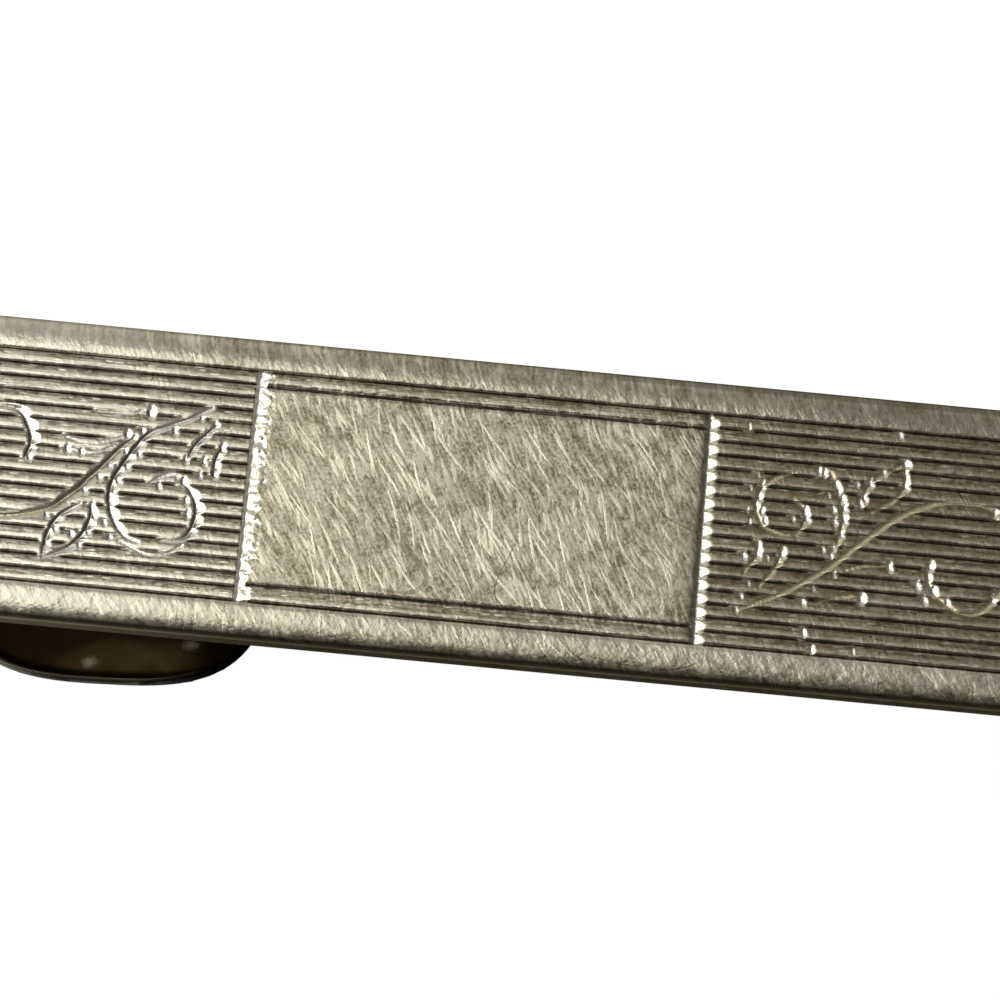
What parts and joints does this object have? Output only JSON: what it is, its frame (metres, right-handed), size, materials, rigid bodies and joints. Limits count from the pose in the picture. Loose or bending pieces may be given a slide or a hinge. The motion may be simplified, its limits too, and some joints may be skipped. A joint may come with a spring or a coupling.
{
  "type": "tie clip",
  "caption": "Slim tie clip: an engraved bar with ridges, scrolls and a plain name panel, and a sprung, toothed lever on its back that grips the tie.",
  "frame": {"origin": "centre of the plain name panel, on the bar's face", "axes": "+X along the bar towards the jaw's teeth, +Y across the bar, +Z out of the engraved face"},
  "size_m": [0.0444, 0.0064, 0.0067],
  "materials": {
    "engraved_silver": "silvered brass, engraved, tarnished dark in the grooves and worn bright on the ridges",
    "plain_silver": "silvered brass, plain, tarnished",
    "lever_silver": "silvered brass, bent sheet, tarnished darker than the face",
    "pin_steel": "steel, peened and dulled",
    "spring_steel": "drawn spring wire, dulled"
  },
  "bodies": {
    "bar": {"face_shell": "engraved_silver", "back_plate": "plain_silver", "hinge_bracket": "plain_silver", "bracket_rivets": "plain_silver", "hinge_pin": "pin_steel", "torsion_spring": "spring_steel"},
    "lever": {"jaw_lever": "lever_silver"}
  },
  "joints": [
    {"name": "jaw_hinge", "type": "hinge", "parent": "bar", "child": "lever", "pos_m": [-0.0022, 0, -0.00255], "axis": [0, 1, 0], "range_deg": [0, 26], "stiffness_Nm_per_rad": 0.01, "springref_deg": -28.65, "deforming": ["torsion_spring"]}
  ]
}
